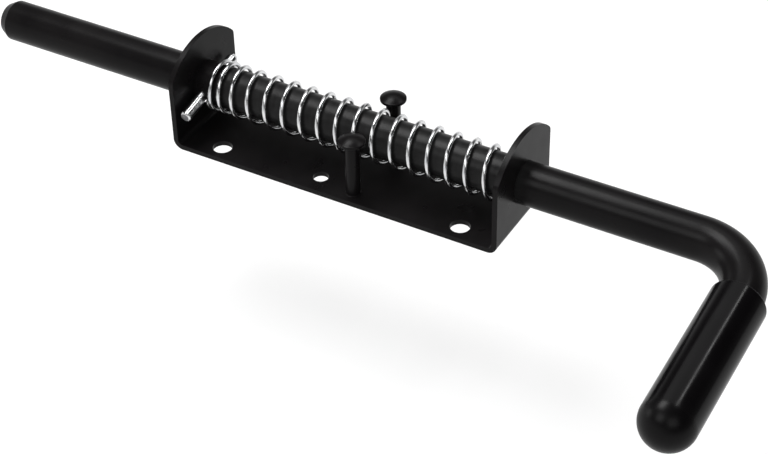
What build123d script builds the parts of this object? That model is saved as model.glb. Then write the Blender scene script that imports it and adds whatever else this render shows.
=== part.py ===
from build123d import *

import os
from math import asin, cos, pi, sin, sqrt

# Spring-loaded gate bolt. A round bar, bent into a sleeved handle, slides and turns
# in the two ears of a folded steel bracket. A spring on the bar pushes a cross pin
# towards the left ear. Drawn back and turned, the pin catches behind two studs.
# Millimetres. +X runs along the bar to the handle, +Y away from the handle, +Z up.
# The origin is the centre of the bracket's underside.

# Bracket: a strip of sheet steel with both ends folded up into ears
SHEET = 2.0
BRACKET_LENGTH = 137.0
BRACKET_WIDTH = 41.5
BEND_INSIDE_R = 1.8
EAR_HEIGHT = 39.0
EAR_ARCH_R = 27.0
EAR_SHOULDER_R = 3.0
EDGE_CHAMFER = 0.35
CORNER_HOLE_D = 7.5
CORNER_HOLE_INSET_X = 17.8
CORNER_HOLE_INSET_Y = 6.4
MIDDLE_HOLE_D = 6.0
MIDDLE_HOLE_X = -8.4
MIDDLE_HOLE_INSET_Y = 8.1

# Bar: bolt and handle arm in one bent piece
BAR_D = 16.0
BAR_HEIGHT = 18.7
BORE_GAP = 0.1
TIP_REACH = 91.7
TIP_CHAMFER_LENGTH = 3.8
TIP_CHAMFER_DEPTH = 2.1
HANDLE_OFFSET = 89.8
HANDLE_LENGTH = 89.3
HANDLE_BEND_R = 22.5
ARM_END_CHAMFER = 1.0

# Grip: a moulded sleeve with a round closed end, pushed on the handle arm. The round end
# is drawn as a few conical rings.
GRIP_WALL = 2.0
GRIP_END_WALL = 8.0
GRIP_LIP_CHAMFER = 0.5
GRIP_END_RINGS = 6

# Cross pin, pressed through the bar and resting just clear of the left ear. It stands out
# further on the handle's side, and is turned a little below the handle, in degrees.
PIN_D = 4.6
PIN_LENGTH = 35.4
PIN_NEAR_REACH = 20.0
PIN_TURN_FROM_HANDLE = 5.2
PIN_CHAMFER = 0.5
PIN_EAR_GAP = 1.1

# Compression spring between the pin and the right ear. The round wire is drawn with flat
# sides and short straight steps, at its true area. The pitch is smallest at the wire's ends,
# and grows evenly to the full pitch over more turns at the pin than at the ear.
WIRE_D = 1.6
WIRE_SIDES = 6
WIRE_STEPS_PER_TURN = 18
SPRING_BAR_GAP = 0.65
SPRING_PITCH = 7.62
SPRING_PIN_END_PITCH = 2.85
SPRING_PIN_END_TURNS = 3.1
SPRING_EAR_END_PITCH = 2.0
SPRING_EAR_END_TURNS = 1.7
# The share of a turn from the wire's end to the first place where it crosses over the bar
SPRING_FIRST_TOP = 0.10
SPRING_SEAT_GAP = 0.15

# Hold-back studs, riveted through the bracket on both sides of the bar. Their low domes
# are drawn as conical rings too.
STUD_X = 7.0
STUD_D = 5.5
STUD_SPRING_GAP = 2.2
STUD_HEIGHT = 26.9
STUD_HEAD_D = 10.0
STUD_RIM_T = 1.0
STUD_DOME_T = 1.5
STUD_DOME_RINGS = 2
RIVET_D = 4.2
RIVET_TAIL_D = 6.4
RIVET_TAIL_T = 1.0

# Places and sizes that follow from the ones above
half_length = BRACKET_LENGTH / 2
half_width = BRACKET_WIDTH / 2
bar_r = BAR_D / 2
grip_r = bar_r + GRIP_WALL
handle_x = half_length + HANDLE_OFFSET
tip_x = -half_length - TIP_REACH
pin_x = -half_length + SHEET + PIN_EAR_GAP + PIN_D / 2
coil_r = bar_r + SPRING_BAR_GAP + WIRE_D / 2
stud_y = coil_r + WIRE_D / 2 + STUD_SPRING_GAP + STUD_D / 2
grip_end_centre = HANDLE_LENGTH - grip_r
# The handle hangs down until the grip's round end touches the bracket's base plane.
handle_drop = asin((BAR_HEIGHT - grip_r) / grip_end_centre)
bar_axis = Vector(0, 0, BAR_HEIGHT)
handle_corner = Vector(handle_x, 0, BAR_HEIGHT)
handle_dir = Vector(0, -cos(handle_drop), -sin(handle_drop))


def handle_plane(distance):
    """A plane across the handle arm, at a distance from the bar's axis, facing the grip's end."""
    return Plane(
        origin=handle_corner + handle_dir * distance, x_dir=(1, 0, 0), z_dir=handle_dir
    )


def ear_outline():
    """The bracket seen along the bar: straight sides, then one arch with eased shoulders."""
    arch_z = EAR_HEIGHT - EAR_ARCH_R
    sides = Pos(0, arch_z / 2) * Rectangle(BRACKET_WIDTH, arch_z)
    above = Pos(0, arch_z + EAR_ARCH_R / 2) * Rectangle(BRACKET_WIDTH, EAR_ARCH_R)
    arch = Pos(0, arch_z) * Circle(EAR_ARCH_R) & above
    outline = (sides + arch).face()
    return fillet(outline.vertices().sort_by(Axis.Y)[-2:], EAR_SHOULDER_R).face()


def strip_profile():
    """The folded strip from the side: the base and the two ears, with their bends."""
    bend_outside_r = BEND_INSIDE_R + SHEET
    inside_length = BRACKET_LENGTH - 2 * SHEET
    outer = Pos(0, EAR_HEIGHT / 2) * Rectangle(BRACKET_LENGTH, EAR_HEIGHT)
    outer = fillet(outer.vertices().sort_by(Axis.Y)[:2], bend_outside_r)
    inner = Pos(0, SHEET + EAR_HEIGHT / 2) * Rectangle(inside_length, EAR_HEIGHT)
    inner = fillet(inner.vertices().sort_by(Axis.Y)[:2], BEND_INSIDE_R)
    return (outer - inner).face()


def make_bracket():
    """Folds the strip, trims its ears to the arch, dulls the cut edges and punches the holes."""
    strip = extrude(Plane.XZ * strip_profile(), half_width, both=True)
    trim = extrude(Plane.YZ * ear_outline(), half_length, both=True)
    bracket = strip & trim
    bracket = chamfer([edge for edge in bracket.edges() if on_rim(edge)], EDGE_CHAMFER)
    bore_length = BRACKET_LENGTH + 2 * SHEET
    bracket -= Pos(bar_axis) * Rot(0, 90, 0) * Cylinder(bar_r + BORE_GAP, bore_length)
    corner_x = half_length - CORNER_HOLE_INSET_X
    corner_y = half_width - CORNER_HOLE_INSET_Y
    middle_y = half_width - MIDDLE_HOLE_INSET_Y
    for side in (-1, 1):
        for end in (-1, 1):
            bracket -= plate_hole(end * corner_x, side * corner_y, CORNER_HOLE_D)
        bracket -= plate_hole(MIDDLE_HOLE_X, side * middle_y, MIDDLE_HOLE_D)
        bracket -= Pos(STUD_X, side * stud_y) * rivet()
    return bracket


def on_rim(edge):
    """True for an edge that runs along the strip's cut sides or over an ear's arch."""
    nothing = 0.01
    middle = edge.position_at(0.5)
    run = edge @ 1 - edge @ 0
    on_side = abs(abs(middle.Y) - half_width) < nothing
    across = abs(run.Y) > nothing
    over_ear = middle.Z > EAR_HEIGHT / 2 and abs(run.X) < nothing
    return (on_side and not across) or (over_ear and across)


def plate_hole(x, y, diameter):
    """A punch through the base plate."""
    return Pos(x, y, SHEET / 2) * Cylinder(diameter / 2, 2 * SHEET)


def make_bar():
    """Bends the bar, chamfers both ends and drills it for the pin."""
    arm_end = HANDLE_LENGTH - GRIP_END_WALL
    tip = Vector(tip_x, 0, BAR_HEIGHT)
    path = FilletPolyline(
        tip, handle_corner, handle_corner + handle_dir * arm_end, radius=HANDLE_BEND_R
    )
    bar = sweep(Plane(origin=tip, z_dir=(1, 0, 0)) * Circle(bar_r), path=path)
    tip_face = bar.faces().sort_by(Axis.X)[0]
    bar = chamfer(
        tip_face.edges(), TIP_CHAMFER_DEPTH, TIP_CHAMFER_LENGTH, reference=tip_face
    )
    arm_rim = bar.edges().filter_by(GeomType.CIRCLE).sort_by(Axis.Y)[0]
    bar = chamfer(arm_rim, ARM_END_CHAMFER)
    return bar - pin_body()


def ball_points(radius, reach, rings):
    """Points on a ball's outline, from its axis out to an angle, as radius and height."""
    points = []
    for i in range(rings + 1):
        angle = reach * i / rings
        points.append((radius * sin(angle), radius * cos(angle)))
    return points


def make_grip():
    """A sleeve on the straight of the arm, with an eased lip and a half-ball end."""
    length = grip_end_centre - HANDLE_BEND_R
    bore_end = HANDLE_LENGTH - GRIP_END_WALL - HANDLE_BEND_R
    seat_r = bar_r - ARM_END_CHAMFER
    bore = [(0, bore_end), (seat_r, bore_end), (bar_r, bore_end - ARM_END_CHAMFER)]
    lip = [(bar_r, 0), (grip_r - GRIP_LIP_CHAMFER, 0), (grip_r, GRIP_LIP_CHAMFER)]
    ball = [(r, length + z) for r, z in ball_points(grip_r, pi / 2, GRIP_END_RINGS)]
    half_section = make_face(Polyline(bore + lip + ball[::-1], close=True))
    return handle_plane(HANDLE_BEND_R) * revolve(Plane.XZ * half_section, Axis.Z)


def pin_body():
    """The pin through the bar's axis, as a plain cylinder."""
    turn = handle_drop + PIN_TURN_FROM_HANDLE * pi / 180
    pin_dir = Vector(0, -cos(turn), -sin(turn))
    middle = Vector(pin_x, 0, BAR_HEIGHT) + pin_dir * (PIN_NEAR_REACH - PIN_LENGTH / 2)
    place = Plane(origin=middle, x_dir=(1, 0, 0), z_dir=pin_dir)
    return place * Cylinder(PIN_D / 2, PIN_LENGTH)


def make_pin():
    """The cross pin with both ends chamfered."""
    pin = pin_body()
    return chamfer(pin.edges().filter_by(GeomType.CIRCLE), PIN_CHAMFER)


def pitch_at(turn, turns):
    """The spring's pitch at a turn: tight at both ends, growing evenly to the full pitch."""
    pin_share = turn / SPRING_PIN_END_TURNS
    ear_share = (turns - turn) / SPRING_EAR_END_TURNS
    pin_pitch = SPRING_PIN_END_PITCH + (SPRING_PITCH - SPRING_PIN_END_PITCH) * pin_share
    ear_pitch = SPRING_EAR_END_PITCH + (SPRING_PITCH - SPRING_EAR_END_PITCH) * ear_share
    return min(pin_pitch, ear_pitch, SPRING_PITCH)


def make_spring():
    """Joins sections of the wire along a helix that seats on the pin and on the right ear."""
    seat_offset = SPRING_SEAT_GAP + WIRE_D / 2
    start_x = pin_x + PIN_D / 2 + seat_offset
    end_x = half_length - SHEET - seat_offset
    pin_end_length = SPRING_PIN_END_TURNS * (SPRING_PIN_END_PITCH + SPRING_PITCH) / 2
    ear_end_length = SPRING_EAR_END_TURNS * (SPRING_EAR_END_PITCH + SPRING_PITCH) / 2
    full_turns = (end_x - start_x - pin_end_length - ear_end_length) / SPRING_PITCH
    turns = SPRING_PIN_END_TURNS + full_turns + SPRING_EAR_END_TURNS
    count = round(turns * WIRE_STEPS_PER_TURN)
    step = turns / count
    x = start_x
    sections = []
    for i in range(count + 1):
        sections.append(wire_section(x, i * step, pitch_at(i * step, turns)))
        x += pitch_at((i + 0.5) * step, turns) * step
    return loft(sections, ruled=True)


def wire_section(x, turn, pitch):
    """A flat-sided section with the round wire's area, square to the helix at this turn."""
    angle = 2 * pi * (turn - SPRING_FIRST_TOP)
    outwards = Vector(0, -sin(angle), cos(angle))
    along = Vector(pitch / (2 * pi), -coil_r * cos(angle), -coil_r * sin(angle))
    centre = Vector(x, 0, BAR_HEIGHT) + outwards * coil_r
    corner_r = WIRE_D / 2 * sqrt(2 * pi / (WIRE_SIDES * sin(2 * pi / WIRE_SIDES)))
    place = Plane(origin=centre, x_dir=outwards, z_dir=along.normalized())
    return place * RegularPolygon(corner_r, WIRE_SIDES)


def rivet():
    """A stud's tenon through the base plate and its tail, spread flush with the underside."""
    tenon = Pos(0, 0, SHEET / 2) * Cylinder(RIVET_D / 2, SHEET)
    tail = Pos(0, 0, RIVET_TAIL_T / 2) * Cone(
        RIVET_TAIL_D / 2, RIVET_D / 2, RIVET_TAIL_T
    )
    return tenon + tail


def make_stud(side):
    """A turned stud with a low domed head; side is -1 in front of the bar and 1 behind it."""
    head_r = STUD_HEAD_D / 2
    rim_top = STUD_HEIGHT - STUD_DOME_T
    rim_bottom = rim_top - STUD_RIM_T
    shank = [(0, SHEET), (STUD_D / 2, SHEET), (STUD_D / 2, rim_bottom), (head_r, rim_bottom)]
    dome_r = (head_r**2 + STUD_DOME_T**2) / (2 * STUD_DOME_T)
    dome_centre = STUD_HEIGHT - dome_r
    dome = ball_points(dome_r, asin(head_r / dome_r), STUD_DOME_RINGS)
    dome = [(r, dome_centre + z) for r, z in dome]
    half_section = make_face(Polyline(shank + dome[::-1], close=True))
    stud = revolve(Plane.XZ * half_section, Axis.Z)
    return Pos(STUD_X, side * stud_y) * (stud + rivet())


os.makedirs("parts", exist_ok=True)
pieces = {
    "bracket": make_bracket(),
    "bolt_rod": make_bar(),
    "handle_grip": make_grip(),
    "cross_pin": make_pin(),
    "spring": make_spring(),
    "front_stud": make_stud(-1),
    "rear_stud": make_stud(1),
}
for name, piece in pieces.items():
    export_step(piece, f"parts/{name}.step")
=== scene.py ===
"""Spring-loaded gate bolt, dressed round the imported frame.

Every piece is modelled in millimetres with bmesh operators and scaled to metres when it is
finished. +X runs along the bar to the handle, +Y away from the handle, +Z up, and the origin is
the centre of the bracket's underside.
"""

from __future__ import annotations

import logging
import math
from dataclasses import dataclass, field, replace
from enum import Enum

import bmesh
import bpy
from mathutils import Matrix, Vector

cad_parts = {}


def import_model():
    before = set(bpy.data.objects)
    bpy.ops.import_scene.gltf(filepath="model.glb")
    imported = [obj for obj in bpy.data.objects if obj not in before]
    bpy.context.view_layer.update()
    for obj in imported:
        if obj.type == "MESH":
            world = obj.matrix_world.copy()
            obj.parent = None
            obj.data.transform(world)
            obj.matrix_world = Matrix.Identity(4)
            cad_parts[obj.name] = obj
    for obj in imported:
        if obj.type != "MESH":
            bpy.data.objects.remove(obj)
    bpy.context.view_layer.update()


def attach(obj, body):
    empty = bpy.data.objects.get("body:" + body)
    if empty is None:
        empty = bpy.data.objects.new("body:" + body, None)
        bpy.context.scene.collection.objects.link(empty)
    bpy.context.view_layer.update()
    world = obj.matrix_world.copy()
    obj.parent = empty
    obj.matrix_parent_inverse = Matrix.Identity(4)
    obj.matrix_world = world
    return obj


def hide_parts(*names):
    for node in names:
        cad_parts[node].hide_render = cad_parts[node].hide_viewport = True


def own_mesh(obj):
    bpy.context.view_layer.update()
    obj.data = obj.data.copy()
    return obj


LOG = logging.getLogger("gate_bolt")
MM = 0.001


class Body(str, Enum):
    """The moving bodies that a piece can ride on."""

    FRAME = "frame"
    COIL = "spring_coil"
    BOLT = "bolt"


class Slot(str, Enum):
    """The finishes that the record names."""

    COAT = "black_coat"
    VINYL = "black_vinyl"
    ZINC = "zinc"


class Side(Enum):
    """Which side of the bar a stud stands on."""

    FRONT = -1
    REAR = 1


class NodeBench:
    """Adds and joins nodes in one node tree."""

    NOISE_LOW = 0.3
    NOISE_HIGH = 0.7

    def __init__(self, tree: bpy.types.NodeTree) -> None:
        """Starts from an empty tree.

        Args:
            tree: The tree that takes the nodes.
        """
        self.tree = tree
        tree.nodes.clear()

    def add(self, kind: str, inputs: dict | None = None, **settings: object) -> bpy.types.Node:
        """Adds a node.

        Args:
            kind: The node's type name.
            inputs: Values or sockets for its inputs, by name or number.
            settings: Its properties.

        Returns:
            The new node.
        """
        node = self.tree.nodes.new(kind)
        for name, value in settings.items():
            setattr(node, name, value)
        for key, value in (inputs or {}).items():
            if isinstance(value, bpy.types.NodeSocket):
                self.tree.links.new(value, node.inputs[key])
            else:
                node.inputs[key].default_value = value
        return node

    def math(self, operation: str, first: object, second: object = 0.0) -> bpy.types.NodeSocket:
        """Adds a Math node and returns its result.

        Args:
            operation: The sum to do.
            first: Its first value or socket.
            second: Its second value or socket.

        Returns:
            The result's socket.
        """
        node = self.add("ShaderNodeMath", {0: first, 1: second}, operation=operation)
        return node.outputs[0]

    def spread(self, source: bpy.types.NodeSocket, low: float, high: float) -> bpy.types.NodeSocket:
        """Maps a noise's middle range onto a range of values.

        Args:
            source: The noise.
            low: The value at the noise's dark side.
            high: The value at its light side.

        Returns:
            The mapped value's socket.
        """
        values = {"Value": source, "From Min": self.NOISE_LOW, "From Max": self.NOISE_HIGH}
        values.update({"To Min": low, "To Max": high})
        return self.add("ShaderNodeMapRange", values).outputs["Result"]

    def slide(
        self, source: bpy.types.NodeSocket, span: tuple[float, float], ends: tuple[float, float]
    ) -> bpy.types.NodeSocket:
        """Maps a value smoothly from one range to another.

        Args:
            source: The value.
            span: Where it starts and stops to count.
            ends: What it becomes there.

        Returns:
            The mapped value's socket.
        """
        values = {"Value": source, "From Min": span[0], "From Max": span[1]}
        values.update({"To Min": ends[0], "To Max": ends[1]})
        node = self.add("ShaderNodeMapRange", values, interpolation_type="SMOOTHSTEP")
        return node.outputs["Result"]


@dataclass(frozen=True)
class Finish:
    """A surface: two close colours, a range of roughness, and a fine skin over a slow swell.

    Scales are cells in a metre, and depths and spans are metres. end_dull roughens the grip's
    round end over end_span, along Y. The rub colour shows in streaks over the rub span, along X,
    where the spring rubs the bar: rub marks together with painted light that makes the bar between
    the coils paler.
    """

    name: str
    dark: tuple[float, float, float]
    light: tuple[float, float, float]
    roughness: tuple[float, float]
    grain_scale: float
    grain_depth: float
    swell_scale: float
    swell_depth: float
    metallic: float = 0.0
    ior: float = 1.5
    patch_scale: float = 45.0
    smudge_share: float = 2.3
    end_dull: float = 0.0
    end_span: tuple[float, float] = (-0.076, -0.085)
    rub_and_light_colour: float = 0.0
    rub_and_light_span: tuple[float, float] = (0.0, 0.0)
    rub_and_light_fade: float = 0.008
    rub_and_light_scale: float = 480.0
    rub_and_light_squeeze: tuple[float, float, float] = (1.0, 0.25, 0.25)
    rub_and_light_share: tuple[float, float] = (0.4, 1.0)

    def material(self) -> bpy.types.Material:
        """Makes the finish's material, or hands back the one already made.

        Returns:
            The material.
        """
        made = bpy.data.materials.get(self.name)
        if made is not None:
            return made
        made = bpy.data.materials.new(self.name)
        made.use_nodes = True
        bench = NodeBench(made.node_tree)
        place = bench.add("ShaderNodeTexCoord").outputs["Object"]
        patches = self.noise(bench, place, self.patch_scale, detail=3.0)
        colour = bench.add(
            "ShaderNodeMix",
            {"Factor": bench.spread(patches, 0.0, 1.0), 6: (*self.dark, 1), 7: (*self.light, 1)},
            data_type="RGBA",
        )
        tint = colour.outputs[2]
        # Painted light with rub marks: the bar between the spring's coils is made paler, in streaks.
        if self.rub_and_light_colour:
            tint = self.rubbed_and_lit(bench, place, tint)
        smudges = self.noise(bench, place, self.patch_scale * self.smudge_share, detail=2.0)
        roughness = bench.spread(smudges, *self.roughness)
        if self.end_dull:
            out = bench.add("ShaderNodeSeparateXYZ", {0: place}).outputs["Y"]
            dull = bench.slide(out, self.end_span, (0.0, self.end_dull))
            roughness = bench.math("ADD", roughness, dull)
        shader = bench.add(
            "ShaderNodeBsdfPrincipled",
            {
                "Base Color": tint,
                "Roughness": roughness,
                "Metallic": self.metallic,
                "IOR": self.ior,
                "Normal": self.relief(bench, place),
            },
        )
        bench.add("ShaderNodeOutputMaterial", {"Surface": shader.outputs["BSDF"]})
        return made

    def rubbed_and_lit(
        self, bench: NodeBench, place: bpy.types.NodeSocket, colour: bpy.types.NodeSocket
    ) -> bpy.types.NodeSocket:
        """Lightens a length of the piece in streaks, where a spring's coils rub it: rub marks together
        with painted light.

        Args:
            bench: Where the nodes go.
            place: The coordinates.
            colour: The colour before the rub marks and painted light.

        Returns:
            The colour with rub marks and painted light.
        """
        along = bench.add("ShaderNodeSeparateXYZ", {0: place}).outputs["X"]
        start, end = self.rub_and_light_span
        fade = self.rub_and_light_fade
        zone = bench.math(
            "MULTIPLY",
            bench.slide(along, (start, start + fade), (0.0, 1.0)),
            bench.slide(along, (end - fade, end), (1.0, 0.0)),
        )
        squeezed = bench.add("ShaderNodeMapping", {"Vector": place, "Scale": self.rub_and_light_squeeze})
        streaks = self.noise(bench, squeezed.outputs["Vector"], self.rub_and_light_scale, detail=3.0)
        worn_and_lit = bench.math("MULTIPLY", zone, bench.spread(streaks, *self.rub_and_light_share))
        pale = (self.rub_and_light_colour,) * 3 + (1,)
        mixed = bench.add("ShaderNodeMix", {"Factor": worn_and_lit, 6: colour, 7: pale}, data_type="RGBA")
        return mixed.outputs[2]

    def noise(
        self, bench: NodeBench, place: bpy.types.NodeSocket, scale: float, detail: float
    ) -> bpy.types.NodeSocket:
        """Adds a noise on the object's own coordinates.

        Args:
            bench: Where the nodes go.
            place: The coordinates.
            scale: Cells in a metre.
            detail: How many finer layers it has.

        Returns:
            The noise's value.
        """
        values = {"Vector": place, "Scale": scale, "Detail": detail}
        return bench.add("ShaderNodeTexNoise", values).outputs["Fac"]

    def relief(self, bench: NodeBench, place: bpy.types.NodeSocket) -> bpy.types.NodeSocket:
        """Adds the fine skin of the finish, and the slow swell of the surface under it.

        Args:
            bench: Where the nodes go.
            place: The coordinates.

        Returns:
            The bent normal.
        """
        swell = bench.add(
            "ShaderNodeBump",
            {
                "Height": self.noise(bench, place, self.swell_scale, detail=1.0),
                "Distance": self.swell_depth,
                "Strength": 1.0,
            },
        )
        grain = bench.add(
            "ShaderNodeBump",
            {
                "Height": self.noise(bench, place, self.grain_scale, detail=2.0),
                "Distance": self.grain_depth,
                "Strength": 1.0,
                "Normal": swell.outputs["Normal"],
            },
        )
        return grain.outputs["Normal"]


POWDER_COAT = Finish(
    name="powder_coat",
    dark=(0.0044, 0.0039, 0.0042),
    light=(0.0076, 0.0068, 0.0071),
    roughness=(0.27, 0.33),
    ior=1.20,
    grain_scale=1300.0,
    grain_depth=0.000005,
    swell_scale=45.0,
    swell_depth=0.00005,
)
# Painted light with rub marks: paler streaks on the bar between the spring's coils.
RUBBED_AND_LIT_COAT = replace(POWDER_COAT, name="rubbed_and_lit_coat", rub_and_light_span=(-0.060, 0.076), rub_and_light_colour=0.016)
SOFT_VINYL = Finish(
    name="soft_vinyl",
    dark=(0.0024, 0.0021, 0.0024),
    light=(0.0038, 0.0034, 0.0038),
    roughness=(0.14, 0.20),
    ior=1.22,
    grain_scale=900.0,
    grain_depth=0.000004,
    swell_scale=35.0,
    swell_depth=0.00005,
    end_dull=0.16,
)
BRIGHT_ZINC = Finish(
    name="bright_zinc",
    dark=(0.74, 0.75, 0.77),
    light=(0.88, 0.88, 0.88),
    roughness=(0.17, 0.25),
    metallic=1.0,
    patch_scale=260.0,
    grain_scale=2600.0,
    grain_depth=0.0000008,
    swell_scale=300.0,
    swell_depth=0.000003,
)
# Painted shade: a dark metal colour for the pin's flat end faces, which makes them look shaded.
SHADED_END_ZINC = Finish(
    name="shaded_end_zinc",
    dark=(0.13, 0.13, 0.14),
    light=(0.22, 0.22, 0.22),
    roughness=(0.35, 0.50),
    metallic=1.0,
    patch_scale=500.0,
    grain_scale=1800.0,
    grain_depth=0.000010,
    swell_scale=300.0,
    swell_depth=0.00001,
)


class Pen:
    """Draws a line of edges by extruding its last vertex along lines and round arcs."""

    def __init__(self, bm: bmesh.types.BMesh, start: tuple[float, float, float]) -> None:
        """Puts the first vertex down.

        Args:
            bm: The mesh that is drawn in.
            start: Where the line starts.
        """
        self.bm = bm
        self.tip = bm.verts.new(start)

    def line(self, x: float, y: float, z: float) -> None:
        """Draws a straight edge to a point."""
        made = bmesh.ops.extrude_vert_indiv(self.bm, verts=[self.tip])
        self.tip = made["verts"][0]
        self.tip.co = (x, y, z)

    def arc(
        self,
        centre: tuple[float, float, float],
        degrees: float,
        steps: int,
        axis: tuple[float, float, float] = (0, 1, 0),
    ) -> None:
        """Draws an arc from the last point.

        Args:
            centre: The arc's centre.
            degrees: How far it turns about the axis.
            steps: How many edges it has.
            axis: What it turns about.
        """
        made = bmesh.ops.spin(
            self.bm,
            geom=[self.tip],
            cent=centre,
            axis=axis,
            angle=math.radians(degrees),
            steps=steps,
            use_merge=False,
        )
        self.tip = next(g for g in made["geom_last"] if isinstance(g, bmesh.types.BMVert))


class Workshop:
    """Operations that several pieces share."""

    MERGE = 1e-4
    FLAT_DEG = 0.5
    SHARP_DEG = 25.0

    @staticmethod
    def turn(bm: bmesh.types.BMesh, steps: int) -> None:
        """Turns the drawn profile a full circle about the local Z axis and closes its poles.

        Args:
            bm: A mesh that holds only the profile.
            steps: How many faces go round.
        """
        bmesh.ops.spin(
            bm,
            geom=bm.verts[:] + bm.edges[:],
            cent=(0, 0, 0),
            axis=(0, 0, 1),
            angle=2 * math.pi,
            steps=steps,
            use_merge=True,
        )
        bmesh.ops.remove_doubles(bm, verts=bm.verts[:], dist=Workshop.MERGE)

    @staticmethod
    def disc(
        bm: bmesh.types.BMesh, radii: tuple[float, float], length: float, place: Matrix, steps: int
    ) -> None:
        """Adds a solid cylinder or cone, for cutting with.

        Args:
            bm: The mesh that takes it.
            radii: Its radius at the low and at the high end.
            length: Its length.
            place: Where its middle goes and how it is turned.
            steps: How many sides it has.
        """
        bmesh.ops.create_cone(
            bm,
            cap_ends=True,
            segments=steps,
            radius1=radii[0],
            radius2=radii[1],
            depth=length,
            matrix=place,
        )

    @staticmethod
    def combine(first: bmesh.types.BMesh, second: bmesh.types.BMesh, operation: str) -> None:
        """Cuts or trims one solid with another, and keeps the result in the first mesh.

        Args:
            first: The solid that is changed.
            second: The solid that it is cut or trimmed with, which is used up.
            operation: INTERSECT or DIFFERENCE.
        """
        pair = []
        for bm in (first, second):
            bmesh.ops.recalc_face_normals(bm, faces=bm.faces[:])
            mesh = bpy.data.meshes.new("blank")
            bm.to_mesh(mesh)
            blank = bpy.data.objects.new("blank", mesh)
            bpy.context.scene.collection.objects.link(blank)
            pair.append(blank)
        cut = pair[0].modifiers.new("cut", "BOOLEAN")
        cut.operation = operation
        cut.solver = "EXACT"
        cut.object = pair[1]
        graph = bpy.context.evaluated_depsgraph_get()
        result = bpy.data.meshes.new_from_object(pair[0].evaluated_get(graph))
        first.clear()
        first.from_mesh(result)
        second.free()
        bpy.data.meshes.remove(result)
        for blank in pair:
            mesh = blank.data
            bpy.data.objects.remove(blank)
            bpy.data.meshes.remove(mesh)
        bmesh.ops.remove_doubles(first, verts=first.verts[:], dist=Workshop.MERGE)
        bmesh.ops.dissolve_limit(
            first,
            angle_limit=math.radians(Workshop.FLAT_DEG),
            verts=first.verts[:],
            edges=first.edges[:],
            delimit=set(),
        )

    @staticmethod
    def soften(bm: bmesh.types.BMesh, width: float, segments: int) -> None:
        """Rounds every sharp edge, as a coat of paint or plating does.

        Args:
            bm: The solid.
            width: How far in from the edge the round starts.
            segments: How many faces it has across.
        """
        limit = math.radians(Workshop.SHARP_DEG)
        sharp = [e for e in bm.edges if e.is_manifold and e.calc_face_angle(0.0) > limit]
        bmesh.ops.bevel(
            bm,
            geom=sharp,
            offset=width,
            offset_type="OFFSET",
            affect="EDGES",
            segments=segments,
            profile=0.5,
            material=-1,
            clamp_overlap=True,
        )

    @staticmethod
    def finish(bm: bmesh.types.BMesh, name: str, dress: Finish) -> bpy.types.Object:
        """Scales the solid to metres and makes it a dressed object at the origin.

        Args:
            bm: The solid, which is used up.
            name: The piece's name.
            dress: Its finish.

        Returns:
            The object.
        """
        bmesh.ops.recalc_face_normals(bm, faces=bm.faces[:])
        bmesh.ops.scale(bm, vec=(MM, MM, MM), verts=bm.verts[:])
        for face in bm.faces:
            face.smooth = True
        mesh = bpy.data.meshes.new(name)
        bm.to_mesh(mesh)
        bm.free()
        mesh.materials.append(dress.material())
        piece = bpy.data.objects.new(name, mesh)
        bpy.context.scene.collection.objects.link(piece)
        if mesh.polygons:
            even = piece.modifiers.new("even_normals", "WEIGHTED_NORMAL")
            even.weight = 100
            even.mode = "FACE_AREA_WITH_ANGLE"
        return piece

    @staticmethod
    def fit(piece: bpy.types.Object, body: Body, slot: Slot, node: str) -> bpy.types.Object:
        """Lets a piece ride on its body in the place of its node.

        Args:
            piece: The finished piece.
            body: The body that carries it.
            slot: The record's finish for it; not used.
            node: The node that it stands for.

        Returns:
            The piece.
        """
        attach(piece, body.value)
        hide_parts(node)
        LOG.info("%s: %d faces, rides on %s", piece.name, len(piece.data.polygons), body.value)
        return piece


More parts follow.
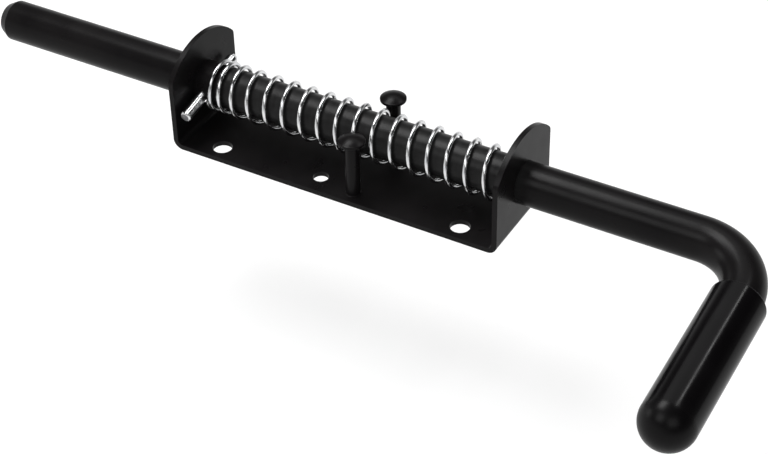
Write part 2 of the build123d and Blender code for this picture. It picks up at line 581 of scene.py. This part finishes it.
@dataclass
class Bracket:
    """A strip of sheet steel, folded up into an arched ear at each end."""

    sheet: float = 2.0
    length: float = 137.0
    width: float = 41.5
    bend_inside_r: float = 1.8
    ear_height: float = 39.0
    ear_arch_r: float = 27.0
    shoulder_r: float = 3.0
    edge_round: float = 0.42
    corner_hole_d: float = 7.5
    corner_hole_inset: tuple[float, float] = (17.8, 6.4)
    middle_hole_d: float = 6.0
    middle_hole_x: float = -8.4
    middle_hole_inset: float = 8.1
    bore_d: float = 16.2
    bore_height: float = 18.7
    bend_steps: int = 14
    arch_steps: int = 72
    shoulder_steps: int = 6
    round_steps: int = 96
    punch_overlap: float = 0.02
    finish: Finish = field(default=POWDER_COAT)

    def folded(self) -> bmesh.types.BMesh:
        """Draws the strip's section and pulls it across the bracket's width.

        Returns:
            The folded strip, with square ears.
        """
        bm = bmesh.new()
        half = self.length / 2
        top = self.ear_height
        outer = self.bend_inside_r + self.sheet
        inner = self.bend_inside_r
        back = self.width / 2
        pen = Pen(bm, (-half, -back, top))
        first = pen.tip
        pen.line(-half, -back, outer)
        pen.arc((-half + outer, -back, outer), -90, self.bend_steps)
        pen.line(half - outer, -back, 0)
        pen.arc((half - outer, -back, outer), -90, self.bend_steps)
        pen.line(half, -back, top)
        pen.line(half - self.sheet, -back, top)
        pen.line(half - self.sheet, -back, outer)
        pen.arc((half - self.sheet - inner, -back, outer), 90, self.bend_steps)
        pen.line(-half + self.sheet + inner, -back, self.sheet)
        pen.arc((-half + self.sheet + inner, -back, outer), 90, self.bend_steps)
        pen.line(-half + self.sheet, -back, top)
        bmesh.ops.contextual_create(bm, geom=[first, pen.tip])
        side = bmesh.ops.contextual_create(bm, geom=bm.edges[:])["faces"]
        pulled = bmesh.ops.extrude_face_region(bm, geom=side)
        moved = [g for g in pulled["geom"] if isinstance(g, bmesh.types.BMVert)]
        bmesh.ops.translate(bm, vec=(0, self.width, 0), verts=moved)
        return bm

    def arched(self) -> bmesh.types.BMesh:
        """Makes the solid that trims both ears to their arch.

        Returns:
            The trimming solid.
        """
        bm = bmesh.new()
        half = self.width / 2
        centre_z = self.ear_height - self.ear_arch_r
        shoulder_y = half - self.shoulder_r
        inner_r = self.ear_arch_r - self.shoulder_r
        shoulder_z = centre_z + math.sqrt(inner_r**2 - shoulder_y**2)
        lean = math.degrees(math.asin(shoulder_y / inner_r))
        reach = self.length
        along = (1, 0, 0)
        pen = Pen(bm, (-reach, -half, -self.ear_height))
        first = pen.tip
        pen.line(-reach, -half, shoulder_z)
        pen.arc((-reach, -shoulder_y, shoulder_z), lean - 90, self.shoulder_steps, axis=along)
        pen.arc((-reach, 0, centre_z), -2 * lean, self.arch_steps, axis=along)
        pen.arc((-reach, shoulder_y, shoulder_z), lean - 90, self.shoulder_steps, axis=along)
        pen.line(-reach, half, -self.ear_height)
        bmesh.ops.contextual_create(bm, geom=[first, pen.tip])
        end = bmesh.ops.contextual_create(bm, geom=bm.edges[:])["faces"]
        pulled = bmesh.ops.extrude_face_region(bm, geom=end)
        moved = [g for g in pulled["geom"] if isinstance(g, bmesh.types.BMVert)]
        bmesh.ops.translate(bm, vec=(2 * reach, 0, 0), verts=moved)
        return bm

    def punches(self, stud: HoldBackStud) -> bmesh.types.BMesh:
        """Makes the punches for the bores, the screw holes and the rivets.

        Args:
            stud: A stud, whose rivet needs a countersunk hole.

        Returns:
            All the punches in one mesh.
        """
        bm = bmesh.new()
        lie_down = Matrix.Rotation(math.pi / 2, 4, "Y")
        reach = 5 * self.sheet
        bore_r = self.bore_d / 2
        for end in (-1, 1):
            ear = Matrix.Translation((end * self.length / 2, 0, self.bore_height)) @ lie_down
            Workshop.disc(bm, (bore_r, bore_r), reach, ear, self.round_steps)
        corner = (
            self.length / 2 - self.corner_hole_inset[0],
            self.width / 2 - self.corner_hole_inset[1],
        )
        middle_y = self.width / 2 - self.middle_hole_inset
        corner_r = self.corner_hole_d / 2
        middle_r = self.middle_hole_d / 2
        for side in (-1, 1):
            for end in (-1, 1):
                place = Matrix.Translation((end * corner[0], side * corner[1], 0))
                Workshop.disc(bm, (corner_r, corner_r), reach, place, self.round_steps)
            place = Matrix.Translation((self.middle_hole_x, side * middle_y, 0))
            Workshop.disc(bm, (middle_r, middle_r), reach, place, self.round_steps)
            place = Matrix.Translation((stud.x, side * stud.y, self.sheet / 2))
            radii = (stud.tail_d / 2, stud.tenon_d / 2)
            Workshop.disc(bm, radii, self.sheet + self.punch_overlap, place, self.round_steps)
        return bm

    def build(self, stud: HoldBackStud) -> bpy.types.Object:
        """Folds, trims, punches and coats the bracket.

        Args:
            stud: A stud, for its rivet's hole.

        Returns:
            The bracket.
        """
        bm = self.folded()
        Workshop.combine(bm, self.arched(), "INTERSECT")
        Workshop.combine(bm, self.punches(stud), "DIFFERENCE")
        Workshop.soften(bm, self.edge_round, segments=3)
        piece = Workshop.finish(bm, "folded_bracket", self.finish)
        return Workshop.fit(piece, Body.FRAME, Slot.COAT, "bracket")


@dataclass
class HoldBackStud:
    """A turned stud with a low domed head, riveted through the bracket."""

    x: float = 7.0
    y: float = 15.2
    base_z: float = 2.0
    shank_d: float = 5.5
    height: float = 26.9
    head_d: float = 10.0
    rim_t: float = 1.0
    dome_t: float = 1.5
    rim_round: float = 0.35
    neck_round: float = 0.5
    foot_round: float = 0.4
    tenon_d: float = 4.2
    tail_d: float = 6.4
    tail_sink: float = 0.05
    tail_trim: float = 0.15
    steps: int = 96
    round_steps: int = 5
    rim_steps: int = 6
    dome_steps: int = 14
    finish: Finish = field(default=POWDER_COAT)

    def build(self, side: Side) -> bpy.types.Object:
        """Turns one stud.

        Args:
            side: Which side of the bar it stands on.

        Returns:
            The stud.
        """
        bm = bmesh.new()
        shank_r = self.shank_d / 2
        head_r = self.head_d / 2
        rim_top = self.height - self.dome_t
        rim_low = rim_top - self.rim_t
        edge = self.rim_round
        dome_r = (head_r**2 + self.dome_t**2) / (2 * self.dome_t)
        slope = math.degrees(math.asin((head_r - edge) / dome_r))
        dome_edge_z = self.height - dome_r * (1 - math.cos(math.radians(slope)))
        pen = Pen(bm, (0, 0, self.tail_sink))
        pen.line(self.tail_d / 2 - self.tail_trim, 0, self.tail_sink)
        pen.line(self.tenon_d / 2, 0, self.base_z)
        pen.line(shank_r + self.foot_round, 0, self.base_z)
        foot = (shank_r + self.foot_round, 0, self.base_z + self.foot_round)
        pen.arc(foot, 90, self.round_steps)
        pen.line(shank_r, 0, rim_low - self.neck_round)
        neck = (shank_r + self.neck_round, 0, rim_low - self.neck_round)
        pen.arc(neck, 90, self.round_steps)
        pen.line(head_r - edge, 0, rim_low)
        pen.arc((head_r - edge, 0, rim_low + edge), -90, self.rim_steps)
        pen.line(head_r, 0, dome_edge_z - edge)
        pen.arc((head_r - edge, 0, dome_edge_z - edge), slope - 90, self.round_steps)
        pen.line(head_r - edge, 0, dome_edge_z)
        pen.arc((0, 0, self.height - dome_r), -slope, self.dome_steps)
        Workshop.turn(bm, self.steps)
        bmesh.ops.translate(bm, vec=(self.x, side.value * self.y, 0), verts=bm.verts[:])
        front = side is Side.FRONT
        piece = Workshop.finish(bm, "front_hold_back" if front else "rear_hold_back", self.finish)
        return Workshop.fit(piece, Body.FRAME, Slot.COAT, "front_stud" if front else "rear_stud")


@dataclass
class BoltRod:
    """The round bar: the bolt, the bend and the handle's arm in one piece."""

    diameter: float = 16.0
    height: float = 18.7
    tip_x: float = -160.2
    handle_x: float = 158.3
    handle_length: float = 89.3
    bend_r: float = 22.5
    drop_deg: float = 6.30
    tip_chamfer_length: float = 3.8
    tip_chamfer_depth: float = 2.1
    tip_round: float = 0.7
    end_wall: float = 8.0
    steps: int = 128
    rim_steps: int = 6
    shoulder_steps: int = 4
    bend_steps: int = 40
    # The bar's coat carries painted light, with rub marks, between the spring's coils.
    finish: Finish = field(default=RUBBED_AND_LIT_COAT)

    def arm_direction(self) -> Vector:
        """The direction from the bar's corner to the grip's end."""
        drop = math.radians(self.drop_deg)
        return Vector((0, -math.cos(drop), -math.sin(drop)))

    def corner(self) -> Vector:
        """Where the bar's axis and the arm's axis would meet."""
        return Vector((self.handle_x, 0, self.height))

    def build(self) -> bpy.types.Object:
        """Turns the tip, then bends the arm off the bar's end.

        Returns:
            The bar.
        """
        bm = bmesh.new()
        radius = self.diameter / 2
        length, depth = self.tip_chamfer_length, self.tip_chamfer_depth
        soft = self.tip_round
        straight = self.handle_x - self.bend_r - self.tip_x
        slope = math.atan2(length, depth)
        rest = math.pi / 2 - slope
        rim_r = radius - depth - soft * math.tan(slope / 2)
        shoulder = soft * math.tan(rest / 2)
        pen = Pen(bm, (0, 0, 0))
        pen.line(rim_r, 0, 0)
        pen.arc((rim_r, 0, soft), -math.degrees(slope), self.rim_steps)
        pen.line(radius - shoulder * math.cos(slope), 0, length - shoulder * math.sin(slope))
        pen.arc((radius - soft, 0, length + shoulder), -math.degrees(rest), self.shoulder_steps)
        pen.line(radius, 0, straight)
        Workshop.turn(bm, self.steps)
        lie_down = Matrix.Rotation(math.pi / 2, 4, "Y")
        place = Matrix.Translation((self.tip_x, 0, self.height)) @ lie_down
        bmesh.ops.transform(bm, matrix=place, verts=bm.verts[:])
        arm = self.arm_direction()
        centre = self.corner() + Vector((-self.bend_r, 0, 0)) + arm * self.bend_r
        open_end = [e for e in bm.edges if e.is_boundary]
        bent = bmesh.ops.spin(
            bm,
            geom=open_end,
            cent=centre,
            axis=Vector((1, 0, 0)).cross(arm),
            angle=math.pi / 2,
            steps=self.bend_steps,
            use_merge=False,
        )
        last = [g for g in bent["geom_last"] if isinstance(g, bmesh.types.BMEdge)]
        pulled = bmesh.ops.extrude_edge_only(bm, edges=last)
        moved = [g for g in pulled["geom"] if isinstance(g, bmesh.types.BMVert)]
        reach = self.handle_length - self.end_wall - self.bend_r
        bmesh.ops.translate(bm, vec=arm * reach, verts=moved)
        bmesh.ops.contextual_create(bm, geom=[e for e in bm.edges if e.is_boundary])
        piece = Workshop.finish(bm, "bent_bar", self.finish)
        return Workshop.fit(piece, Body.BOLT, Slot.COAT, "bolt_rod")


@dataclass
class HandleGrip:
    """A moulded sleeve with a round closed end, pushed on the arm."""

    wall: float = 2.0
    lip_round: float = 0.6
    steps: int = 128
    ball_steps: int = 28
    lip_steps: int = 6
    finish: Finish = field(default=SOFT_VINYL)

    def build(self, rod: BoltRod) -> bpy.types.Object:
        """Turns the sleeve about the arm's axis.

        Args:
            rod: The bar that carries it.

        Returns:
            The grip.
        """
        bm = bmesh.new()
        bore_r = rod.diameter / 2
        outer_r = bore_r + self.wall
        lip_z = rod.bend_r
        ball_z = rod.handle_length - outer_r
        floor_z = rod.handle_length - rod.end_wall
        soft = self.lip_round
        pen = Pen(bm, (0, 0, rod.handle_length))
        pen.arc((0, 0, ball_z), 90, self.ball_steps)
        pen.line(outer_r, 0, lip_z + soft)
        pen.arc((outer_r - soft, 0, lip_z + soft), 90, self.lip_steps)
        pen.line(bore_r + soft, 0, lip_z)
        pen.arc((bore_r + soft, 0, lip_z + soft), 90, self.lip_steps)
        pen.line(bore_r, 0, floor_z)
        pen.line(0, 0, floor_z)
        Workshop.turn(bm, self.steps)
        arm = rod.arm_direction()
        across = Vector((1, 0, 0))
        turned = Matrix((across, arm.cross(across), arm)).transposed().to_4x4()
        place = Matrix.Translation(rod.corner()) @ turned
        bmesh.ops.transform(bm, matrix=place, verts=bm.verts[:])
        piece = Workshop.finish(bm, "vinyl_grip", self.finish)
        return Workshop.fit(piece, Body.BOLT, Slot.VINYL, "handle_grip")


@dataclass
class CrossPin:
    """The pin through the bar that takes the spring's push, just short of the left ear.

    far_taper is how much the radius of its far end shrinks, and over what length.
    """

    diameter: float = 4.6
    length: float = 35.4
    near_reach: float = 20.0
    x: float = -63.1
    turn_from_handle: float = 5.2
    chamfer: float = 0.5
    far_taper: tuple[float, float] = (0.9, 1.6)
    soft: float = 0.12
    flat: float = 0.999
    steps: int = 72
    finish: Finish = field(default=BRIGHT_ZINC)
    # The dark finish of the pin's flat ends is painted shade.
    shaded_end_finish: Finish = field(default=SHADED_END_ZINC)

    def build(self, rod: BoltRod) -> bpy.types.Object:
        """Turns the pin and stands it through the bar.

        Args:
            rod: The bar that carries it.

        Returns:
            The pin.
        """
        bm = bmesh.new()
        radius = self.diameter / 2
        cut = self.chamfer
        far = self.length
        pen = Pen(bm, (0, 0, 0))
        pen.line(radius - self.far_taper[0], 0, 0)
        pen.line(radius, 0, self.far_taper[1])
        pen.line(radius, 0, far - cut)
        pen.line(radius - cut, 0, far)
        pen.line(0, 0, far)
        Workshop.turn(bm, self.steps)
        Workshop.soften(bm, self.soft, segments=2)
        for face in bm.faces:
            face.normal_update()
            # The pin's two flat end faces take the dark end finish: painted shade.
            face.material_index = int(abs(face.normal.z) > self.flat)
        turn = math.radians(rod.drop_deg + self.turn_from_handle)
        out = Vector((0, -math.cos(turn), -math.sin(turn)))
        across = Vector((1, 0, 0))
        turned = Matrix((across, out.cross(across), out)).transposed().to_4x4()
        start = Vector((self.x, 0, rod.height)) + out * (self.near_reach - self.length)
        bmesh.ops.transform(bm, matrix=Matrix.Translation(start) @ turned, verts=bm.verts[:])
        piece = Workshop.finish(bm, "zinc_pin", self.finish)
        piece.data.materials.append(self.shaded_end_finish.material())
        return Workshop.fit(piece, Body.BOLT, Slot.ZINC, "cross_pin")


@dataclass
class CompressionSpring:
    """Round wire wound round the bar, tighter at both ends, between the pin and the right ear."""

    wire_d: float = 1.6
    coil_r: float = 9.45
    start_x: float = -59.95
    end_x: float = 65.55
    height: float = 18.7
    pitch: float = 7.62
    pin_end_turns: float = 3.8
    pin_end_power: float = 0.7
    ear_end_pitch: float = 2.0
    ear_end_turns: float = 1.7
    first_top: float = 0.72
    draw: float = 64.0
    steps_per_turn: int = 48
    wire_sides: int = 18
    finish: Finish = field(default=BRIGHT_ZINC)

    def turns(self) -> float:
        """The number of turns that fills the length between the two seats."""
        pin_end = self.pin_end_turns * self.pitch / (self.pin_end_power + 1)
        ear_end = self.ear_end_turns * (self.ear_end_pitch + self.pitch) / 2
        full = (self.end_x - self.start_x - pin_end - ear_end) / self.pitch
        return self.pin_end_turns + full + self.ear_end_turns

    def pitch_at(self, turn: float, turns: float) -> float:
        """The pitch at a turn: closed against the pin, full in the middle, tight at the ear.

        Args:
            turn: Turns from the start.
            turns: Turns in all.

        Returns:
            The pitch there.
        """
        ear_share = (turns - turn) / self.ear_end_turns
        pin_pitch = self.pitch * (turn / self.pin_end_turns) ** self.pin_end_power
        ear_pitch = self.ear_end_pitch + (self.pitch - self.ear_end_pitch) * ear_share
        return min(pin_pitch, ear_pitch, self.pitch)

    def centreline(self) -> tuple[bmesh.types.BMesh, float]:
        """Winds the wire's middle line, one short spin after another.

        Returns:
            The line as a mesh of edges, and its number of turns.
        """
        bm = bmesh.new()
        turns = self.turns()
        count = round(turns * self.steps_per_turn)
        step = turns / count
        opened = bm.verts.layers.float.new("opened")
        closed = bm.verts.layers.float.new("closed")
        angle = 2 * math.pi * self.first_top
        start = (
            self.start_x,
            self.coil_r * math.sin(angle),
            self.height + self.coil_r * math.cos(angle),
        )
        pen = Pen(bm, start)
        for i in range(count):
            rise = self.pitch_at((i + 0.5) * step, turns) * step
            made = bmesh.ops.spin(
                bm,
                geom=[pen.tip],
                cent=(0, 0, self.height),
                dvec=(rise, 0, 0),
                axis=(1, 0, 0),
                angle=2 * math.pi * step,
                steps=1,
                use_merge=False,
            )
            pen.tip = next(g for g in made["geom_last"] if isinstance(g, bmesh.types.BMVert))
        bm.verts.ensure_lookup_table()
        slack = pen.tip.co.x - self.start_x - turns * self.wire_d
        for i, vert in enumerate(bm.verts):
            vert[closed] = i * step * self.wire_d * MM
            vert[opened] = (vert.co.x - self.start_x - i * step * self.wire_d) / slack
        return bm, turns

    def wire(self, turns: float) -> bpy.types.NodeTree:
        """Makes the nodes that draw round wire along the line.

        The line is shortened as one when the bolt is drawn. The nodes share that out again:
        a closed turn stays a wire's width, and the open turns take up the rest.

        Args:
            turns: Turns in all.

        Returns:
            The node group.
        """
        tree = bpy.data.node_groups.new("round_wire", "GeometryNodeTree")
        tree.interface.new_socket("Line", in_out="INPUT", socket_type="NodeSocketGeometry")
        tree.interface.new_socket("Wire", in_out="OUTPUT", socket_type="NodeSocketGeometry")
        bench = NodeBench(tree)
        line = bench.add("NodeGroupInput").outputs[0]
        box = bench.add("GeometryNodeBoundBox", {"Geometry": line})
        low = bench.add("ShaderNodeSeparateXYZ", {0: box.outputs["Min"]}).outputs["X"]
        high = bench.add("ShaderNodeSeparateXYZ", {0: box.outputs["Max"]}).outputs["X"]
        free = bench.math("SUBTRACT", bench.math("SUBTRACT", high, low), turns * self.wire_d * MM)
        opened = bench.add("GeometryNodeInputNamedAttribute", {"Name": "opened"}, data_type="FLOAT")
        closed = bench.add("GeometryNodeInputNamedAttribute", {"Name": "closed"}, data_type="FLOAT")
        share = bench.math("MULTIPLY", opened.outputs["Attribute"], free)
        along = bench.math("ADD", bench.math("ADD", low, closed.outputs["Attribute"]), share)
        spot = bench.add("GeometryNodeInputPosition").outputs[0]
        here = bench.add("ShaderNodeSeparateXYZ", {0: spot})
        across = {"Y": here.outputs["Y"], "Z": here.outputs["Z"]}
        moved = bench.add("ShaderNodeCombineXYZ", {"X": along, **across})
        placed = bench.add("GeometryNodeSetPosition", {"Geometry": line, "Position": moved.outputs[0]})
        curve = bench.add("GeometryNodeMeshToCurve", {"Mesh": placed.outputs[0]})
        ring = bench.add(
            "GeometryNodeCurvePrimitiveCircle",
            {"Resolution": self.wire_sides, "Radius": self.wire_d / 2 * MM},
        )
        tube = bench.add(
            "GeometryNodeCurveToMesh",
            {"Curve": curve.outputs[0], "Profile Curve": ring.outputs[0], "Fill Caps": True},
        )
        smooth = bench.add("GeometryNodeSetShadeSmooth", {"Geometry": tube.outputs[0]})
        dressed = bench.add(
            "GeometryNodeSetMaterial",
            {"Geometry": smooth.outputs[0], "Material": self.finish.material()},
        )
        bench.add("NodeGroupOutput", {0: dressed.outputs[0]})
        return tree

    def build(self) -> bpy.types.Object:
        """Winds the spring and lets it close up as the bolt is drawn.

        Returns:
            The spring.
        """
        line, turns = self.centreline()
        piece = Workshop.finish(line, "wire_spring", self.finish)
        wire = piece.modifiers.new("wire", "NODES")
        wire.node_group = self.wire(turns)
        Workshop.fit(piece, Body.COIL, Slot.ZINC, "spring")
        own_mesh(piece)
        return piece


@dataclass
class PhotoCamera:
    """A camera at the photograph's viewing angle."""

    azimuth_deg: float = 30.49
    elevation_deg: float = 38.47
    roll_deg: float = -1.34
    sideways: float = 9.72
    upwards: float = -21.53
    distance: float = 741.38
    lens: float = 93.20
    sensor: float = 36.0
    clip_start: float = 0.01

    def build(self) -> bpy.types.Object:
        """Makes the camera and looks through it.

        Returns:
            The camera.
        """
        azimuth, elevation = math.radians(self.azimuth_deg), math.radians(self.elevation_deg)
        back = Vector(
            (
                math.sin(azimuth) * math.cos(elevation),
                -math.cos(azimuth) * math.cos(elevation),
                math.sin(elevation),
            )
        )
        right = Vector((math.cos(azimuth), math.sin(azimuth), 0))
        up = back.cross(right)
        facing = Matrix((right, up, back)).transposed().to_4x4()
        facing = facing @ Matrix.Rotation(math.radians(self.roll_deg), 4, "Z")
        away = Matrix.Translation(Vector((self.sideways, self.upwards, self.distance)) * MM)
        data = bpy.data.cameras.new("photo_camera")
        data.lens = self.lens
        data.sensor_width = self.sensor
        data.sensor_fit = "HORIZONTAL"
        data.clip_start = self.clip_start
        camera = bpy.data.objects.new("photo_camera", data)
        camera.matrix_world = facing @ away
        bpy.context.scene.collection.objects.link(camera)
        bpy.context.scene.camera = camera
        return camera


@dataclass(frozen=True)
class SoftBox:
    """One large soft lamp, aimed at a point."""

    name: str
    place: tuple[float, float, float]
    size: tuple[float, float]
    power: float
    aim: tuple[float, float, float] = (0.0, 0.0, 0.02)

    def build(self) -> bpy.types.Object:
        """Hangs the lamp.

        Returns:
            The lamp.
        """
        data = bpy.data.lights.new(self.name, "AREA")
        data.shape = "RECTANGLE"
        data.size, data.size_y = self.size
        data.energy = self.power
        lamp = bpy.data.objects.new(self.name, data)
        lamp.location = self.place
        aim = Vector(self.aim) - Vector(self.place)
        lamp.rotation_euler = aim.to_track_quat("-Z", "Y").to_euler()
        bpy.context.scene.collection.objects.link(lamp)
        return lamp


@dataclass
class Studio:
    """A pale floor, a surround, and soft lamps.

    The camera sees white all round. Reflections see a room that dims upwards and to the right,
    over up_span and across_span of their direction.
    """

    floor_size: float = 12.0
    floor_z: float = -0.066
    floor_albedo: float = 0.42
    camera_lift: float = 0.60
    gloss_lift: float = 0.40
    shadow_span: tuple[float, float] = (0.4, 1.3)
    sky: float = 0.50
    ceiling: float = 0.06
    up_span: tuple[float, float] = (0.02, 0.45)
    right_dim: float = 0.15
    across_span: tuple[float, float] = (-0.2, 0.7)
    lamps: tuple[SoftBox, ...] = (
        SoftBox("left_box", (-0.95, -0.30, 0.40), (0.40, 0.30), 1.2),
        SoftBox("top_box", (-0.34, 0.08, 0.95), (0.56, 0.36), 6.2),
        SoftBox("front_box", (-0.14, -0.60, 0.62), (0.36, 0.36), 1.4),
        SoftBox("camera_box", (0.62, -0.68, 0.64), (0.60, 0.50), 1.6),
        SoftBox("back_box", (-0.18, 0.62, 0.98), (1.04, 0.36), 1.3, (-0.18, 0.0, 0.0)),
        SoftBox("grip_strip", (0.37, 0.50, 0.95), (0.07, 0.38), 1.1, (0.37, -0.06, 0.0)),
    )

    def seen(self, bench: NodeBench) -> tuple[bpy.types.NodeSocket, bpy.types.NodeSocket]:
        """Two values: 1 for what the camera sees, and 1 for what a gloss or a glass sees."""
        path = bench.add("ShaderNodeLightPath")
        mirrored = bench.math("ADD", path.outputs["Is Glossy Ray"], path.outputs["Is Transmission Ray"])
        return path.outputs["Is Camera Ray"], bench.math("MINIMUM", mirrored, 1.0)

    def floor(self) -> bpy.types.Object:
        """Lays the floor, low enough for the handle to turn down past the bracket.

        Returns:
            The floor.
        """
        bm = bmesh.new()
        bmesh.ops.create_grid(bm, x_segments=1, y_segments=1, size=self.floor_size / 2)
        bmesh.ops.translate(bm, vec=(0, 0, self.floor_z), verts=bm.verts[:])
        mesh = bpy.data.meshes.new("floor")
        bm.to_mesh(mesh)
        bm.free()
        material = bpy.data.materials.new("floor_paper")
        material.use_nodes = True
        bench = NodeBench(material.node_tree)
        pale = (self.floor_albedo,) * 3 + (1,)
        paper = bench.add("ShaderNodeBsdfDiffuse", {"Color": pale})
        direct, mirrored = self.seen(bench)
        place = bench.add("ShaderNodeTexCoord").outputs["Object"]
        away = bench.add("ShaderNodeVectorMath", {0: place}, operation="LENGTH").outputs["Value"]
        shown = bench.slide(away, self.shadow_span, (self.camera_lift, 1.0))
        to_camera = bench.math("MULTIPLY", direct, shown)
        lift = bench.math("ADD", to_camera, bench.math("MULTIPLY", mirrored, self.gloss_lift))
        glow = bench.add("ShaderNodeEmission", {"Color": (1, 1, 1, 1), "Strength": lift})
        both = bench.add("ShaderNodeAddShader", {0: paper.outputs[0], 1: glow.outputs[0]})
        bench.add("ShaderNodeOutputMaterial", {"Surface": both.outputs[0]})
        mesh.materials.append(material)
        floor = bpy.data.objects.new("floor", mesh)
        bpy.context.scene.collection.objects.link(floor)
        return floor

    def surround(self) -> None:
        """Makes the world white to look at, dimmer up and right in a gloss, and a soft light."""
        world = bpy.data.worlds.new("white_room")
        bpy.context.scene.world = world
        world.use_nodes = True
        bench = NodeBench(world.node_tree)
        direct, mirrored = self.seen(bench)
        way = bench.add("ShaderNodeTexCoord").outputs["Generated"]
        parts = bench.add("ShaderNodeSeparateXYZ", {0: way}).outputs
        up = bench.slide(parts["Z"], self.up_span, (1.0, self.ceiling))
        across = bench.slide(parts["X"], self.across_span, (1.0, self.right_dim))
        room = bench.math("MULTIPLY", up, across)
        rest = bench.math("SUBTRACT", 1.0, bench.math("ADD", direct, mirrored))
        level = bench.math("ADD", direct, bench.math("MULTIPLY", mirrored, room))
        level = bench.math("ADD", level, bench.math("MULTIPLY", rest, self.sky))
        light = bench.add("ShaderNodeBackground", {"Color": (1, 1, 1, 1), "Strength": level})
        bench.add("ShaderNodeOutputWorld", {"Surface": light.outputs[0]})

    def build(self) -> None:
        """Sets the whole studio up."""
        bpy.context.scene.view_settings.view_transform = "Standard"
        self.surround()
        self.floor()
        for lamp in self.lamps:
            lamp.build()


@dataclass
class GateBolt:
    """The whole bolt."""

    bracket: Bracket = field(default_factory=Bracket)
    stud: HoldBackStud = field(default_factory=HoldBackStud)
    rod: BoltRod = field(default_factory=BoltRod)
    grip: HandleGrip = field(default_factory=HandleGrip)
    pin: CrossPin = field(default_factory=CrossPin)
    spring: CompressionSpring = field(default_factory=CompressionSpring)

    def build(self) -> None:
        """Builds every piece in order."""
        self.bracket.build(self.stud)
        self.stud.build(Side.FRONT)
        self.stud.build(Side.REAR)
        self.rod.build()
        self.grip.build(self.rod)
        self.pin.build(self.rod)
        self.spring.build()


def main() -> None:
    """Loads the frame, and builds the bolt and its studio."""
    logging.basicConfig(level=logging.INFO, format="%(name)s: %(message)s")
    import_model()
    PhotoCamera().build()
    GateBolt().build()
    Studio().build()


if __name__ == "__main__":
    main()
